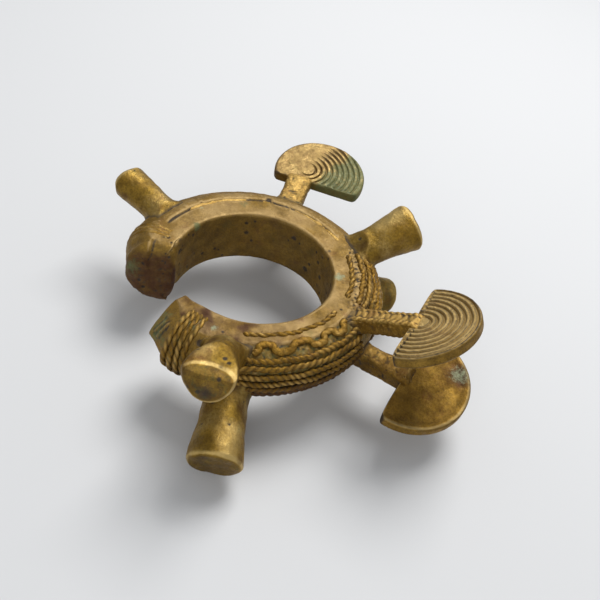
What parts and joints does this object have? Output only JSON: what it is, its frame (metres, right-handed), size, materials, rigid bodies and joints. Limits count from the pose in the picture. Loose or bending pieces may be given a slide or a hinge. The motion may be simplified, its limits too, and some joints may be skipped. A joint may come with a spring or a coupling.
{
  "type": "cast bracelet",
  "caption": "Heavy open bracelet cast in brass, with round pegs and fan-ended arms standing out around a hoop dressed with twisted threads.",
  "frame": {"origin": "middle of the wrist bore, half way up the hoop", "axes": "+Z along the wrist bore, -Y towards the gap between the terminals, +X to the side with the two front pegs"},
  "size_m": [0.1468, 0.1165, 0.0593],
  "materials": {
    "hoop": "worn, aged brass with brown patina",
    "terminals": "aged brass with green and brown corrosion",
    "pegs": "worn, aged brass with bright rims",
    "stems": "rough, aged brass",
    "blades": "worn, aged brass",
    "threads": "rough cast brass, dark in the recesses"
  },
  "bodies": {
    "root": {"back_left_border_lower": "threads", "back_left_border_upper": "threads", "back_left_fan_lower_blade": "blades", "back_left_fan_lower_stem": "stems", "back_left_fan_upper_blade": "blades", "back_left_fan_upper_stem": "stems", "back_left_row_1": "threads", "back_left_row_2": "threads", "back_left_row_3": "threads", "back_left_row_4": "threads", "back_peg_lower": "pegs", "back_peg_upper": "pegs", "back_right_border_lower": "threads", "back_right_border_upper": "threads", "back_right_fan_lower_blade": "blades", "back_right_fan_lower_stem": "stems", "back_right_fan_upper_blade": "blades", "back_right_fan_upper_stem": "stems", "back_right_row_1": "threads", "back_right_row_2": "threads", "back_right_row_3": "threads", "back_right_row_4": "threads", "back_right_row_5": "threads", "back_right_row_6": "threads", "back_right_row_7": "threads", "back_right_row_8": "threads", "front_left_border_lower": "threads", "front_left_border_upper": "threads", "front_left_peg_upper": "pegs", "front_left_row_1": "threads", "front_left_row_2": "threads", "front_left_row_3": "threads", "front_left_row_4": "threads", "front_right_border_lower": "threads", "front_right_border_upper": "threads", "front_right_peg_lower": "pegs", "front_right_peg_upper": "pegs", "front_right_row_1": "threads", "front_right_row_2": "threads", "front_right_row_3": "threads", "front_right_row_4": "threads", "front_right_row_5": "threads", "front_right_row_6": "threads", "front_right_row_7": "threads", "front_right_scroll": "threads", "hoop_core": "hoop", "left_terminal": "terminals", "left_wrap_1": "threads", "left_wrap_2": "threads", "left_wrap_3": "threads", "right_terminal": "terminals", "right_wrap_1": "threads", "right_wrap_2": "threads", "right_wrap_3": "threads", "right_wrap_4": "threads"}
  },
  "joints": []
}
